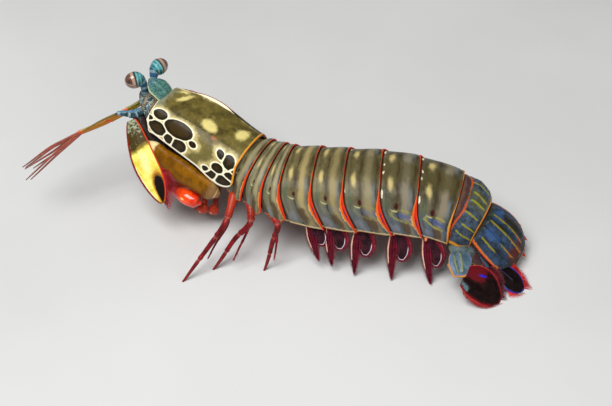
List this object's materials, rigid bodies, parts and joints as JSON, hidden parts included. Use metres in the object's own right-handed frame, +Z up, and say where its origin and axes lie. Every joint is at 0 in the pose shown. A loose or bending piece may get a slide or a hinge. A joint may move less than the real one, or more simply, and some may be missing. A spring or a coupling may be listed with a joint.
{
  "type": "mantis shrimp",
  "caption": "Standing mantis shrimp, life size, with stalked eyes, yellow antennal scales, folded striking limbs, slim legs, swimmerets and a spread tail fan.",
  "frame": {"origin": "centre of the bounding box, at floor level", "axes": "+X toward the tail, +Y toward the animal's right side, +Z up"},
  "size_m": [0.1744, 0.0816, 0.0498],
  "materials": {
    "carapace_shell": "olive shell, glossy and wet",
    "soft_body": "soft skin under the shell",
    "head_blue": "slate blue shell",
    "rostral_teal": "teal shell, satin",
    "thorax_shell": "olive grey shell with orange rims",
    "abdomen_shell": "olive grey banded shell with red rims",
    "tail_shell": "slate blue shell with yellow keels",
    "eyestalk_teal": "teal skin",
    "eye_surface": "clear glossy eye surface",
    "feeler_orange": "orange to dark red",
    "feeler_blue": "dark blue green",
    "scale_yellow": "yellow leaf with a dark eye mark",
    "merus_mustard": "mustard shell",
    "striker_red": "bright red shell",
    "limb_crimson": "crimson shell",
    "swimmeret_maroon": "thin maroon leaf",
    "fan_blue": "slate blue shell",
    "fan_dark": "dark leaf with a blue edge"
  },
  "bodies": {
    "root": {"carapace": "carapace_shell", "trunk": "soft_body", "head": "head_blue", "rostral_plate": "rostral_teal", "thorax_6": "thorax_shell", "thorax_7": "thorax_shell", "thorax_8": "thorax_shell", "abdomen_1": "abdomen_shell", "abdomen_2": "abdomen_shell", "abdomen_3": "abdomen_shell", "abdomen_4": "abdomen_shell", "abdomen_5": "abdomen_shell", "abdomen_6": "tail_shell", "telson": "tail_shell", "eyestalk_left": "eyestalk_teal", "eye_left": "eye_surface", "antennule_left": "feeler_orange", "antenna_left": "feeler_blue", "antennal_scale_left": "scale_yellow", "raptorial_merus_left": "merus_mustard", "raptorial_carpus_left": "striker_red", "raptorial_propodus_left": "striker_red", "raptorial_dactyl_left": "striker_red", "maxilliped_4_left": "limb_crimson", "maxilliped_5_left": "limb_crimson", "leg_1_left": "limb_crimson", "leg_2_left": "limb_crimson", "leg_3_left": "limb_crimson", "pleopod_1_left": "swimmeret_maroon", "pleopod_2_left": "swimmeret_maroon", "pleopod_3_left": "swimmeret_maroon", "pleopod_4_left": "swimmeret_maroon", "pleopod_5_left": "swimmeret_maroon", "uropod_base_left": "fan_blue", "uropod_exopod_left": "fan_blue", "uropod_paddle_left": "fan_dark", "uropod_endopod_left": "fan_dark", "eyestalk_right": "eyestalk_teal", "eye_right": "eye_surface", "antennule_right": "feeler_orange", "antenna_right": "feeler_blue", "antennal_scale_right": "scale_yellow", "raptorial_merus_right": "merus_mustard", "raptorial_carpus_right": "striker_red", "raptorial_propodus_right": "striker_red", "raptorial_dactyl_right": "striker_red", "maxilliped_4_right": "limb_crimson", "maxilliped_5_right": "limb_crimson", "leg_1_right": "limb_crimson", "leg_2_right": "limb_crimson", "leg_3_right": "limb_crimson", "pleopod_1_right": "swimmeret_maroon", "pleopod_2_right": "swimmeret_maroon", "pleopod_3_right": "swimmeret_maroon", "pleopod_4_right": "swimmeret_maroon", "pleopod_5_right": "swimmeret_maroon", "uropod_base_right": "fan_blue", "uropod_exopod_right": "fan_blue", "uropod_paddle_right": "fan_dark", "uropod_endopod_right": "fan_dark"}
  },
  "joints": []
}
